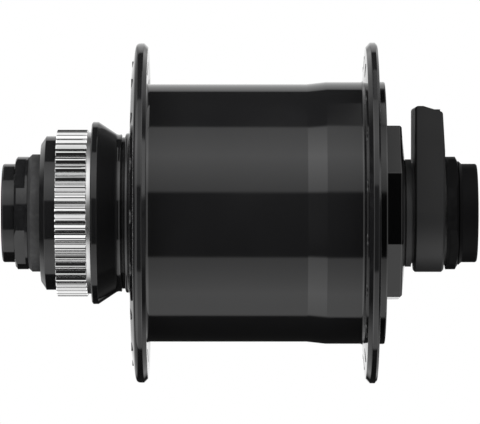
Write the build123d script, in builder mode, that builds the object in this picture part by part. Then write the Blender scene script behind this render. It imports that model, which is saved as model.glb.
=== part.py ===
from build123d import *
import os
from math import pi, radians, sin

# Bicycle front hub with a dynamo inside, for a disc brake and a through axle.
# Millimetres. The axle lies on X with the middle of the hub at the origin, the brake rotor's
# side is -X, the connector's side is +X, and +Z is up. "Out" is away from the middle.

os.makedirs("parts", exist_ok=True)

# Main sizes
fork_width = 100.0  # between the two fork ends
axle_bore_radius = 6.05  # clears a 12 mm through axle
axle_radius = 8.5
barrel_radius = 27.2

# Room between pieces
seat_clearance = 0.03  # a ring on the shaft or in the bore that carries it
race_clearance = 0.05  # a ball in its track
running_gap = 0.3  # a still piece beside a turning one
cut_overrun = 1.0  # how far a cutting shape passes the face that it cuts

# Widths along the axle, from the left fork end inwards
left_cap_length = 2.65
left_cap_neck_length = 0.15
left_nut_length = 2.7
dust_cap_length = 8.5
left_bearing_width = 5.0
left_sleeve_length = 14.0

# Widths along the axle, from the right fork end inwards
right_cap_length = 3.9
right_cap_neck_length = 0.2
right_nut_length = 2.5
tab_washer_thickness = 0.5
connector_width = 6.3
dust_seal_length = 3.7
right_bearing_width = 7.0
right_ring_length = 1.9
stator_nut_length = 3.0
stator_washer_thickness = 1.0

# Places along the axle, left side
left_cap_out = -fork_width / 2
left_cap_in = left_cap_out + left_cap_length
left_nut_out = left_cap_in + left_cap_neck_length
left_nut_in = left_nut_out + left_nut_length
left_bearing_out = left_nut_in + dust_cap_length
left_bearing_in = left_bearing_out + left_bearing_width
stator_left = left_bearing_in + left_sleeve_length

# Places along the axle, right side
right_cap_out = fork_width / 2
right_cap_in = right_cap_out - right_cap_length
right_nut_out = right_cap_in - right_cap_neck_length
right_nut_in = right_nut_out - right_nut_length
connector_out = right_nut_in - tab_washer_thickness
connector_in = connector_out - connector_width
right_bearing_out = connector_in - dust_seal_length
right_bearing_in = right_bearing_out - right_bearing_width
stator_nut_out = right_bearing_in - right_ring_length
stator_washer_out = stator_nut_out - stator_nut_length
stator_right = stator_washer_out - stator_washer_thickness

# Radii that several pieces share
seat_radius = axle_radius + seat_clearance
left_bearing_height = 4.5  # from its bore to its rim
right_bearing_height = 6.5
left_bearing_radius = axle_radius + left_bearing_height
right_bearing_radius = axle_radius + right_bearing_height

# Bearing proportions, as shares of the height between bore and rim
race_share = 0.29
ball_share = 0.31
cage_share = 0.18
cage_width_share = 1.2  # of the ball's radius, to each side of the middle
cage_pocket_share = 4.0  # a pocket's length, of half the cage's thickness
ball_pitch_share = 1.7  # of the ball's diameter, along the pitch circle

# Thicknesses, as shares of the barrel's radius
barrel_wall_share = 0.0735
back_iron_share = 0.055
magnet_share = 0.103
finger_share = 0.059
core_wall_share = 0.07

# Lid and magnets follow these
lid_shoulder_thickness = 1.1
boss_length = 3.5
boss_crown = 0.6  # how far its face falls back from the seal to its rim
lid_disc_thickness = 1.6
boss_face = right_bearing_out + lid_shoulder_thickness
lid_disc_out = boss_face - boss_length
lid_disc_in = lid_disc_out - lid_disc_thickness

air_gap = 0.4
pole_count = 28
shell_bore_radius = barrel_radius * (1 - barrel_wall_share)
back_iron_thickness = barrel_radius * back_iron_share
magnet_thickness = barrel_radius * magnet_share
finger_thickness = barrel_radius * finger_share
core_wall = barrel_radius * core_wall_share
back_iron_inner = shell_bore_radius - back_iron_thickness
magnet_inner = back_iron_inner - magnet_thickness
finger_outer = magnet_inner - air_gap
finger_inner = finger_outer - finger_thickness
core_radius = axle_radius + core_wall


def outline(*corners):
    """A closed outline in the plane of the axle.

    A corner is (place along the axle, radius), and a third number rounds it.
    """
    with BuildSketch(Plane.XZ) as drawn:
        with BuildLine():
            FilletPolyline(
                *[corner[:2] for corner in corners],
                radius=[corner[2] if len(corner) == 3 else 0 for corner in corners],
                close=True,
            )
        make_face()
    return drawn.sketch


def ring_outline(x_low, x_high, r_in, r_out):
    """The outline of a plain ring."""
    return outline((x_low, r_in), (x_high, r_in), (x_high, r_out), (x_low, r_out))


# Hollow axle, with a groove on top for the lead wires and the washer's tab
cap_wall = 1.5
groove_width = 3.4
groove_depth = 1.6
lead_rise_inset = 5.5  # from the stator's right end to where the wires rise to the coil
lead_slot_half_length = 1.2
groove_past_nut = 1.0

axle_left = left_cap_out + cap_wall
axle_right = right_cap_out - cap_wall
lead_rise = stator_right - lead_rise_inset
groove_left = lead_rise - lead_slot_half_length
groove_right = right_nut_in + groove_past_nut
groove_floor = axle_radius - groove_depth

with BuildPart() as hollow_axle:
    revolve(ring_outline(axle_left, axle_right, axle_bore_radius, axle_radius), axis=Axis.X)
    with BuildSketch(Plane.XY.offset(groove_floor)):
        with Locations(((groove_left + groove_right) / 2, 0)):
            Rectangle(groove_right - groove_left, groove_width)
    extrude(amount=groove_depth + cut_overrun, mode=Mode.SUBTRACT)
hollow_axle.part.label = "hollow_axle"
export_step(hollow_axle.part, "parts/hollow_axle.step")

# End caps, which sit in the fork ends
cap_radius = 10.4
cap_rounding = 0.45
neck_radius = 9.8
flare_height = 0.6
flare_length = 0.65

with BuildPart() as left_end_cap:
    revolve(
        outline(
            (left_cap_out, axle_bore_radius),
            (left_cap_out, cap_radius, cap_rounding),
            (left_cap_in, cap_radius),
            (left_cap_in, neck_radius),
            (left_nut_out, neck_radius),
            (left_nut_out, seat_radius),
            (axle_left, seat_radius),
            (axle_left, axle_bore_radius),
        ),
        axis=Axis.X,
    )
left_end_cap.part.label = "left_end_cap"
export_step(left_end_cap.part, "parts/left_end_cap.step")

with BuildPart() as right_end_cap:
    revolve(
        outline(
            (right_cap_out, axle_bore_radius),
            (right_cap_out, cap_radius, cap_rounding),
            (right_cap_in + flare_length, cap_radius),
            (right_cap_in, cap_radius + flare_height),
            (right_cap_in, neck_radius),
            (right_nut_out, neck_radius),
            (right_nut_out, seat_radius),
            (axle_right, seat_radius),
            (axle_right, axle_bore_radius),
        ),
        axis=Axis.X,
    )
right_end_cap.part.label = "right_end_cap"
export_step(right_end_cap.part, "parts/right_end_cap.step")

# Locknuts, each with four wrench flats and a round collar towards the hub
nut_flat_distance = 10.95  # from the axis to a flat
nut_corner_height = 0.95  # from a flat's level to the round corners
nut_collar_length = 0.5
nut_turn = 4.0  # degrees by which the flats are turned
square_turn = 45.0 - nut_turn
nut_radius = nut_flat_distance + nut_corner_height


def make_locknut(name, outer_face, inner_face, bevel_length, bevel_height):
    """Turn the nut, then cut the flats from its outer face as far as the collar."""
    inwards = 1 if inner_face > outer_face else -1
    with BuildPart() as locknut:
        revolve(
            outline(
                (outer_face, seat_radius),
                (outer_face, nut_radius - bevel_height),
                (outer_face + inwards * bevel_length, nut_radius),
                (inner_face, nut_radius),
                (inner_face, seat_radius),
            ),
            axis=Axis.X,
        )
        with BuildSketch(Plane.YZ.offset(outer_face)):
            Circle(nut_radius + cut_overrun)
            Rectangle(
                2 * nut_flat_distance,
                2 * nut_flat_distance,
                rotation=square_turn,
                mode=Mode.SUBTRACT,
            )
        flat_length = abs(inner_face - outer_face) - nut_collar_length
        extrude(amount=inwards * flat_length, mode=Mode.SUBTRACT)
    locknut.part.label = name
    export_step(locknut.part, f"parts/{name}.step")


left_nut_bevel_length = 0.4
left_nut_bevel_height = 0.5
right_nut_bevel_length = 0.5
right_nut_bevel_height = 0.9
make_locknut(
    "left_locknut", left_nut_out, left_nut_in, left_nut_bevel_length, left_nut_bevel_height
)
make_locknut(
    "right_locknut", right_nut_out, right_nut_in, right_nut_bevel_length, right_nut_bevel_height
)

# Left dust cap: the wide part shows, the land runs inside the lip seal
dust_cap_inset = 0.6  # of its rim, inside the bearing's rim
dust_cap_bevel_height = 0.7
dust_cap_bevel_length = 0.75
dust_cap_wide_length = 4.9
left_land_height = 2.1
race_contact_height = 1.2
land_step = 0.4
dust_cap_radius = left_bearing_radius - dust_cap_inset
dust_cap_wide_end = left_nut_in + dust_cap_wide_length
left_land_radius = axle_radius + left_land_height
race_contact_radius = axle_radius + race_contact_height

with BuildPart() as left_dust_cap:
    revolve(
        outline(
            (left_nut_in, seat_radius),
            (left_nut_in, dust_cap_radius - dust_cap_bevel_height),
            (left_nut_in + dust_cap_bevel_length, dust_cap_radius),
            (dust_cap_wide_end, dust_cap_radius),
            (dust_cap_wide_end, left_land_radius),
            (left_bearing_out - land_step, left_land_radius),
            (left_bearing_out - land_step, race_contact_radius),
            (left_bearing_out, race_contact_radius),
            (left_bearing_out, seat_radius),
        ),
        axis=Axis.X,
    )
left_dust_cap.part.label = "left_dust_cap"
export_step(left_dust_cap.part, "parts/left_dust_cap.step")

# Right dust seal: its land runs inside the lid's lip seal, its wide part shows
right_land_height = 1.6
dust_seal_height = 2.85
dust_seal_neck_height = 2.1
dust_seal_neck_length = 0.5
right_land_radius = axle_radius + right_land_height
dust_seal_radius = axle_radius + dust_seal_height
dust_seal_neck_radius = axle_radius + dust_seal_neck_height
dust_seal_wide_start = boss_face + boss_crown + running_gap
dust_seal_wide_end = connector_in - dust_seal_neck_length

with BuildPart() as right_dust_seal:
    revolve(
        outline(
            (right_bearing_out, seat_radius),
            (right_bearing_out, right_land_radius),
            (dust_seal_wide_start, right_land_radius),
            (dust_seal_wide_start, dust_seal_radius),
            (dust_seal_wide_end, dust_seal_radius),
            (dust_seal_wide_end, dust_seal_neck_radius),
            (connector_in, dust_seal_neck_radius),
            (connector_in, seat_radius),
        ),
        axis=Axis.X,
    )
right_dust_seal.part.label = "right_dust_seal"
export_step(right_dust_seal.part, "parts/right_dust_seal.step")

# Ball bearings, each of an inner race, an outer race, balls, a cage and two shields
shield_thickness = 0.25
shield_inset = 0.1
shield_gap = 0.2


def make_bearing(side, x_low, x_high, rim_radius):
    """Make one bearing's five nodes between two places on the axle."""
    x_mid = (x_low + x_high) / 2
    height = rim_radius - axle_radius
    pitch_radius = axle_radius + height / 2
    ball_radius = ball_share * height
    inner_race_rim = axle_radius + race_share * height
    outer_race_bore = rim_radius - race_share * height
    ball_count = int(2 * pi * pitch_radius / (2 * ball_radius * ball_pitch_share))
    cage_half_thickness = cage_share * height / 2
    cage_half_width = cage_width_share * ball_radius

    with BuildSketch(Plane.XZ) as track:
        with Locations((x_mid, pitch_radius)):
            Circle(ball_radius + race_clearance)

    with BuildPart() as inner_race:
        revolve(ring_outline(x_low, x_high, seat_radius, inner_race_rim), axis=Axis.X)
        revolve(track.sketch, axis=Axis.X, mode=Mode.SUBTRACT)
    inner_race.part.label = f"{side}_inner_race"
    export_step(inner_race.part, f"parts/{side}_inner_race.step")

    with BuildPart() as outer_race:
        revolve(
            ring_outline(x_low, x_high, outer_race_bore, rim_radius - seat_clearance),
            axis=Axis.X,
        )
        revolve(track.sketch, axis=Axis.X, mode=Mode.SUBTRACT)
    outer_race.part.label = f"{side}_outer_race"
    export_step(outer_race.part, f"parts/{side}_outer_race.step")

    with BuildPart(Plane.YZ.offset(x_mid)) as balls:
        with PolarLocations(pitch_radius, ball_count):
            Sphere(ball_radius)
    balls.part.label = f"{side}_bearing_balls"
    export_step(balls.part, f"parts/{side}_bearing_balls.step")

    with BuildPart(Plane.YZ.offset(x_mid)) as cage:
        revolve(
            ring_outline(
                x_mid - cage_half_width,
                x_mid + cage_half_width,
                pitch_radius - cage_half_thickness,
                pitch_radius + cage_half_thickness,
            ),
            axis=Axis.X,
        )
        with PolarLocations(pitch_radius, ball_count):
            Cylinder(
                ball_radius + race_clearance,
                cage_pocket_share * cage_half_thickness,
                rotation=(0, 90, 0),
                mode=Mode.SUBTRACT,
            )
    cage.part.label = f"{side}_ball_cage"
    export_step(cage.part, f"parts/{side}_ball_cage.step")

    shield_bore = inner_race_rim + shield_gap
    shield_rim = outer_race_bore - seat_clearance
    with BuildPart() as shields:
        for x_out in (x_low + shield_inset, x_high - shield_inset - shield_thickness):
            revolve(
                ring_outline(x_out, x_out + shield_thickness, shield_bore, shield_rim),
                axis=Axis.X,
            )
    shields.part.label = f"{side}_bearing_shields"
    export_step(shields.part, f"parts/{side}_bearing_shields.step")


make_bearing("left", left_bearing_out, left_bearing_in, left_bearing_radius)
make_bearing("right", right_bearing_in, right_bearing_out, right_bearing_radius)

# Sleeve, ring, washer and nut that lock the stator on the axle
right_ring_height = 1.7
stator_washer_height = 4.5
stator_nut_flat_height = 3.5

with BuildPart() as left_spacer_sleeve:
    revolve(
        ring_outline(left_bearing_in, stator_left, seat_radius, race_contact_radius),
        axis=Axis.X,
    )
left_spacer_sleeve.part.label = "left_spacer_sleeve"
export_step(left_spacer_sleeve.part, "parts/left_spacer_sleeve.step")

with BuildPart() as right_spacer_ring:
    revolve(
        ring_outline(
            stator_nut_out, right_bearing_in, seat_radius, axle_radius + right_ring_height
        ),
        axis=Axis.X,
    )
right_spacer_ring.part.label = "right_spacer_ring"
export_step(right_spacer_ring.part, "parts/right_spacer_ring.step")

with BuildPart() as stator_washer:
    revolve(
        ring_outline(
            stator_right, stator_washer_out, seat_radius, axle_radius + stator_washer_height
        ),
        axis=Axis.X,
    )
stator_washer.part.label = "stator_washer"
export_step(stator_washer.part, "parts/stator_washer.step")

with BuildPart() as stator_nut:
    with BuildSketch(Plane.YZ.offset(stator_washer_out)):
        RegularPolygon(
            radius=axle_radius + stator_nut_flat_height, side_count=6, major_radius=False
        )
        Circle(seat_radius, mode=Mode.SUBTRACT)
    extrude(amount=stator_nut_length)
stator_nut.part.label = "stator_nut"
export_step(stator_nut.part, "parts/stator_nut.step")

# Stator: core sleeve, two claw poles, bobbin and winding
claw_disc_thickness = 2.5
finger_end_gap = 1.2
finger_width_share = 0.78  # of the angle from one pole to the next
notch_depth = 1.0  # below the fingers, between them
bobbin_flange_gap = 0.2
bobbin_flange_thickness = 1.0
bobbin_wall = 0.8
winding_inset = 0.6  # of the winding, below the bobbin's flanges
lead_rise_top = axle_radius + core_wall + bobbin_wall

left_disc_in = stator_left + claw_disc_thickness
right_disc_in = stator_right - claw_disc_thickness
pole_angle = 360 / pole_count
finger_gap_angle = pole_angle * (2 - finger_width_share)
finger_gap_width = 2 * finger_outer * sin(radians(finger_gap_angle / 2))
notch_floor = finger_inner - notch_depth
notch_height = finger_outer + cut_overrun - notch_floor
claw_bore_radius = core_radius + seat_clearance
bobbin_core_radius = core_radius + bobbin_wall
bobbin_flange_radius = finger_inner - bobbin_flange_gap


def make_claw_pole(name, disc_out, disc_in, finger_tip, first_gap_angle):
    """Turn a cup and cut its rim into fingers, which reach between the other pole's."""
    inwards = 1 if disc_in > disc_out else -1
    with BuildPart() as claw_pole:
        revolve(
            outline(
                (disc_out, claw_bore_radius),
                (disc_out, finger_outer),
                (finger_tip, finger_outer),
                (finger_tip, finger_inner),
                (disc_in, finger_inner),
                (disc_in, claw_bore_radius),
            ),
            axis=Axis.X,
        )
        with BuildSketch(Plane.YZ.offset(disc_out - inwards * cut_overrun)):
            with PolarLocations(
                notch_floor + notch_height / 2, pole_count // 2, start_angle=first_gap_angle
            ):
                Rectangle(notch_height, finger_gap_width)
        cut_length = abs(finger_tip - disc_out) + 2 * cut_overrun
        extrude(amount=inwards * cut_length, mode=Mode.SUBTRACT)
    claw_pole.part.label = name
    export_step(claw_pole.part, f"parts/{name}.step")


make_claw_pole("left_claw_pole", stator_left, left_disc_in, right_disc_in - finger_end_gap, 0)
make_claw_pole(
    "right_claw_pole", stator_right, right_disc_in, left_disc_in + finger_end_gap, pole_angle
)

with BuildSketch(Plane.XY.offset(groove_floor)) as lead_slot:
    with Locations((lead_rise, 0)):
        Rectangle(2 * lead_slot_half_length, groove_width)

with BuildPart() as stator_core:
    revolve(ring_outline(stator_left, stator_right, seat_radius, core_radius), axis=Axis.X)
    extrude(lead_slot.sketch, amount=lead_rise_top - groove_floor, mode=Mode.SUBTRACT)
stator_core.part.label = "stator_core"
export_step(stator_core.part, "parts/stator_core.step")

with BuildPart() as coil_bobbin:
    revolve(
        outline(
            (left_disc_in, claw_bore_radius),
            (left_disc_in, bobbin_flange_radius),
            (left_disc_in + bobbin_flange_thickness, bobbin_flange_radius),
            (left_disc_in + bobbin_flange_thickness, bobbin_core_radius),
            (right_disc_in - bobbin_flange_thickness, bobbin_core_radius),
            (right_disc_in - bobbin_flange_thickness, bobbin_flange_radius),
            (right_disc_in, bobbin_flange_radius),
            (right_disc_in, claw_bore_radius),
        ),
        axis=Axis.X,
    )
    extrude(lead_slot.sketch, amount=lead_rise_top - groove_floor, mode=Mode.SUBTRACT)
coil_bobbin.part.label = "coil_bobbin"
export_step(coil_bobbin.part, "parts/coil_bobbin.step")

with BuildPart() as coil_winding:
    revolve(
        ring_outline(
            left_disc_in + bobbin_flange_thickness,
            right_disc_in - bobbin_flange_thickness,
            bobbin_core_radius + seat_clearance,
            bobbin_flange_radius - winding_inset,
        ),
        axis=Axis.X,
    )
coil_winding.part.label = "coil_winding"
export_step(coil_winding.part, "parts/coil_winding.step")

# Connector block: a round ring with a block on top, which holds the contacts
ring_height = 3.95
block_top_height = 13.85
block_flat_length = 1.7
block_slope_drop = 1.25
block_draft = 0.5
block_draft_height = 9.5
block_corner_rounding = 0.7
block_edge_bevel = 0.4
ring_radius = axle_radius + ring_height
block_top = axle_radius + block_top_height
block_crown_end = connector_in + block_flat_length
block_low_corner = block_top - block_slope_drop

# Room inside it, its back cover and its plug pockets, with heights above the axle's surface
cover_thickness = 1.2
cover_clearance = 0.05
cover_half_width = 8.4
cover_bottom_height = 3.1
cover_span = 9.0
cavity_depth = 2.2
cavity_half_width = 6.8
cavity_bottom_height = 1.1
cavity_span = 6.9
pocket_depth = 2.1
pocket_half_width = 8.2
pocket_bottom_height = 4.3
rib_half_width = 0.9
rib_recess = 0.6
rib_top_height = 13.4

cover_bottom = axle_radius + cover_bottom_height
cavity_bottom = axle_radius + cavity_bottom_height
pocket_bottom = axle_radius + pocket_bottom_height
rib_top = axle_radius + rib_top_height
cavity_in = connector_in + cover_thickness
cavity_out = cavity_in + cavity_depth
pocket_floor = connector_out - pocket_depth

# Contact blades and lead wires
blade_thickness = 0.5
blade_width = 4.0
blade_offset = 4.4  # from the middle of the block to the middle of a blade
blade_foot_height = 0.8  # above the bottom of the pocket
blade_span = 7.0
blade_foot_length = 2.6
wire_radius = 0.5
wire_floor_gap = 0.2  # above the groove's floor
wire_offset = 0.8
wire_end_offset = 3.8
wire_bend_radius = 0.9
wire_spread_height = 1.8
wire_fan_height = 1.5
wire_top_gap = 0.12  # below the winding, where the wires join it

blade_bottom = pocket_bottom + blade_foot_height
blade_face = pocket_floor + blade_thickness
wire_level = groove_floor + wire_floor_gap + wire_radius
wire_end = cavity_in + cavity_depth / 2
wire_spread = axle_radius + wire_spread_height
wire_fan_top = wire_spread + wire_fan_height

with BuildPart() as connector_housing:
    with BuildSketch(Plane.YZ.offset(connector_in)):
        Circle(ring_radius)
        with Locations((0, block_top / 2)):
            Rectangle(2 * ring_radius, block_top)
    extrude(amount=connector_width)
    front_and_back = connector_housing.faces().filter_by(Axis.X).edges()
    chamfer(front_and_back.filter_by(Axis.Y, reverse=True), length=block_edge_bevel)
    with BuildSketch(Plane.XZ):
        with BuildLine():
            FilletPolyline(
                (connector_in, -ring_radius),
                (connector_in, block_top),
                (block_crown_end, block_top),
                (connector_out - block_draft, block_low_corner),
                (connector_out, block_top - block_draft_height),
                (connector_out, -ring_radius),
                radius=[0, block_corner_rounding, 0, block_corner_rounding, 0, 0],
                close=True,
            )
        make_face()
    extrude(amount=ring_radius, both=True, mode=Mode.INTERSECT)
    revolve(
        ring_outline(connector_in - cut_overrun, connector_out + cut_overrun, 0, seat_radius),
        axis=Axis.X,
        mode=Mode.SUBTRACT,
    )
    with BuildSketch(Plane.YZ.offset(connector_in)):
        with Locations((0, cover_bottom + cover_span / 2)):
            Rectangle(2 * cover_half_width, cover_span)
    extrude(amount=cover_thickness, mode=Mode.SUBTRACT)
    with BuildSketch(Plane.YZ.offset(cavity_in)):
        with Locations((0, cavity_bottom + cavity_span / 2)):
            Rectangle(2 * cavity_half_width, cavity_span)
        with Locations((0, cavity_bottom / 2)):
            Rectangle(groove_width, cavity_bottom)
    extrude(amount=cavity_depth, mode=Mode.SUBTRACT)
    pocket_height = block_top + cut_overrun - pocket_bottom
    with BuildSketch(Plane.YZ.offset(pocket_floor)):
        with Locations((0, pocket_bottom + pocket_height / 2)):
            Rectangle(2 * pocket_half_width, pocket_height)
    extrude(amount=pocket_depth + cut_overrun, mode=Mode.SUBTRACT)
    with BuildSketch(Plane.YZ.offset(cavity_out)):
        with Locations(
            (-blade_offset, blade_bottom + blade_thickness / 2),
            (blade_offset, blade_bottom + blade_thickness / 2),
        ):
            Rectangle(blade_width + 2 * cover_clearance, blade_thickness + 2 * cover_clearance)
    extrude(amount=pocket_floor - cavity_out, mode=Mode.SUBTRACT)
    with BuildSketch(Plane.YZ.offset(pocket_floor)):
        with Locations((0, (pocket_bottom + rib_top) / 2)):
            Rectangle(2 * rib_half_width, rib_top - pocket_bottom)
    extrude(amount=pocket_depth - rib_recess)
connector_housing.part.label = "connector_housing"
export_step(connector_housing.part, "parts/connector_housing.step")

with BuildPart() as connector_back_cover:
    with BuildSketch(Plane.YZ.offset(connector_in)):
        with Locations((0, cover_bottom + cover_span / 2)):
            Rectangle(
                2 * (cover_half_width - cover_clearance), cover_span - 2 * cover_clearance
            )
    extrude(amount=cover_thickness)
connector_back_cover.part.label = "connector_back_cover"
export_step(connector_back_cover.part, "parts/connector_back_cover.step")

with BuildPart() as contact_blades:
    for side in (-1, 1):
        with BuildSketch(Plane.YZ.offset(pocket_floor)):
            with Locations((side * blade_offset, blade_bottom + blade_span / 2)):
                Rectangle(blade_width, blade_span)
        extrude(amount=blade_thickness)
        with BuildSketch(Plane.YZ.offset(blade_face - blade_thickness - blade_foot_length)):
            with Locations((side * blade_offset, blade_bottom + blade_thickness / 2)):
                Rectangle(blade_width, blade_thickness)
        extrude(amount=blade_foot_length)
contact_blades.part.label = "contact_blades"
export_step(contact_blades.part, "parts/contact_blades.step")

with BuildPart() as lead_wires:
    for side in (-1, 1):
        with BuildLine(mode=Mode.PRIVATE) as route:
            FilletPolyline(
                (lead_rise, side * wire_offset, lead_rise_top - wire_top_gap),
                (lead_rise, side * wire_offset, wire_level),
                (wire_end, side * wire_offset, wire_level),
                (wire_end, side * wire_offset, wire_spread),
                (wire_end, side * wire_end_offset, wire_fan_top),
                (wire_end, side * wire_end_offset, blade_bottom),
                radius=wire_bend_radius,
            )
        with BuildSketch(Plane(origin=route.line @ 0, z_dir=route.line % 0)) as wire_section:
            Circle(wire_radius)
        sweep(wire_section.sketch, path=route.line)
lead_wires.part.label = "lead_wires"
export_step(lead_wires.part, "parts/lead_wires.step")

# Washer between the connector and the right locknut, with a tab in the axle's groove
tab_washer_height = 2.5
tab_clearance = 0.2
tab_washer_radius = axle_radius + tab_washer_height
tab_width = groove_width - 2 * tab_clearance
tab_bottom = groove_floor + tab_clearance

with BuildPart() as tab_washer:
    with BuildSketch(Plane.YZ.offset(connector_out)):
        Circle(tab_washer_radius)
        Circle(seat_radius, mode=Mode.SUBTRACT)
        with Locations((0, (tab_bottom + tab_washer_radius) / 2)):
            Rectangle(tab_width, tab_washer_radius - tab_bottom)
        Circle(tab_bottom, mode=Mode.SUBTRACT)
    extrude(amount=tab_washer_thickness)
tab_washer.part.label = "tab_washer"
export_step(tab_washer.part, "parts/tab_washer.step")

# Shell, rotor side: nose, splines, shoulder and neck, with lengths inwards from the nose
dust_cap_reveal = 2.7  # how far the dust cap stands out of the nose
nose_length = 2.75
nose_bevel_length = 1.05
nose_bevel_height = 1.6
nose_wall = 1.75
lockring_bore_height = 1.5
lockring_bore_length = 2.9
spline_count = 50
spline_length = 6.85
spline_step = 0.05
tooth_height = 1.3
tooth_bevel = 0.25
groove_top_share = 0.58  # of the pitch of the teeth
groove_root_share = 0.34
collar_drop = 0.5  # below the teeth
collar_length = 1.0
collar_fall = 1.05
undercut_length = 0.1
shoulder_height = 1.65
shoulder_length = 1.35
shoulder_bevel = 0.2
cone_length = 4.05
cone_rounding = 3.0
neck_wall = 3.65
bead_length = 0.8
bead_drop = 0.15
bead_rounding = 0.15
neck_groove_depth = 0.9
neck_groove_flank = 0.15
neck_groove_length = 0.45
foot_length = 0.75
foot_height = 0.1
foot_rounding = 0.3

nose_face = left_nut_in + dust_cap_reveal
lockring_bore = left_bearing_radius + lockring_bore_height
lockring_floor = nose_face + lockring_bore_length
nose_radius = lockring_bore + nose_wall
spline_left = nose_face + nose_length
spline_right = spline_left + spline_length
spline_root = nose_radius + spline_step
spline_tip = spline_root + tooth_height
collar_top = spline_tip - collar_drop
collar_end = spline_right + collar_length
collar_low = collar_top - collar_fall
shoulder_face = collar_end + undercut_length
shoulder_radius = spline_tip + shoulder_height
shoulder_end = shoulder_face + shoulder_length
cone_end = shoulder_end + cone_length
neck_outer = left_bearing_radius + neck_wall
bead_end = cone_end + bead_length
neck_groove_start = bead_end + neck_groove_flank
neck_groove_end = neck_groove_start + neck_groove_length
left_flange_root = neck_groove_end + neck_groove_flank + foot_length

# Shell, flanges and barrel
spoke_count = 18  # on each flange
spoke_hole_radius = 1.3
left_hole_inset = 3.8  # from the barrel's surface to the left circle of holes
right_hole_inset = 4.0  # from its thicker right part to the right circle
spoke_hole_bevel = 0.35
left_hole_turn = 1.5  # degrees, both turned from the side that faces -Y
right_hole_turn = 10.0
left_edge_distance = 4.85  # from the circle of holes to the rim
left_flange_cone = 0.8
left_rim_cone = 0.85
left_rim_length = 1.65
left_rim_rounding = 1.0
left_rim_bevel = 0.85
left_inner_lean = 0.5
left_fillet_radius = 0.9
right_edge_distance = 4.35
right_flange_thickness = 3.0
right_inner_lean = 0.6
right_rim_bevel_length = 0.9
right_rim_bevel_height = 1.0
right_rim_rounding = 0.4
right_outer_bevel = 0.45
right_fillet_radius = 0.6
barrel_step = 0.45
step_far_length = 13.7
step_near_length = 10.9

right_barrel_radius = barrel_radius + barrel_step
left_spoke_circle = barrel_radius + left_hole_inset
right_spoke_circle = right_barrel_radius + right_hole_inset
left_flange_radius = left_spoke_circle + left_edge_distance
right_flange_radius = right_spoke_circle + right_edge_distance
left_hole_face = left_flange_root + left_flange_cone
left_rim_start = left_hole_face + left_rim_cone
left_rim_end = left_rim_start + left_rim_length
left_inner_face = left_rim_end + left_rim_bevel
left_barrel_start = left_inner_face - left_inner_lean
shell_end = lid_disc_in
right_flange_start = shell_end - right_flange_thickness
right_inner_face = right_flange_start + right_inner_lean

# Shell, inside
floor_room = 3.0  # between the shell's floor and the stator
back_iron_ledge = 1.3
bearing_shoulder = 1.1
circlip_width = 1.0
circlip_depth = 0.7
circlip_clearance = 0.05
shell_floor = stator_left - floor_room
neck_bore = left_bearing_radius - bearing_shoulder
circlip_groove_radius = left_bearing_radius + circlip_depth
circlip_groove_out = left_bearing_out - circlip_width - circlip_clearance

spline_pitch = 2 * pi * spline_tip / spline_count
front_side = 180.0  # degrees, the -Y side seen in a plane across the axle


def spoke_holes(flange_face, thickness, circle_radius, turn):
    """Sketches of one flange's holes: for a cut through it and for the bevel of each hole."""
    start = front_side + turn
    with BuildSketch(Plane.YZ.offset(flange_face - cut_overrun)) as through:
        with PolarLocations(circle_radius, spoke_count, start_angle=start):
            Circle(spoke_hole_radius)
    bevels = []
    for face in (flange_face, flange_face + thickness):
        with BuildSketch(Plane.YZ.offset(face)) as bevel_sketch:
            with PolarLocations(circle_radius, spoke_count, start_angle=start):
                Circle(spoke_hole_radius + spoke_hole_bevel)
        bevels.append(bevel_sketch.sketch)
    return through.sketch, bevels


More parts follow.
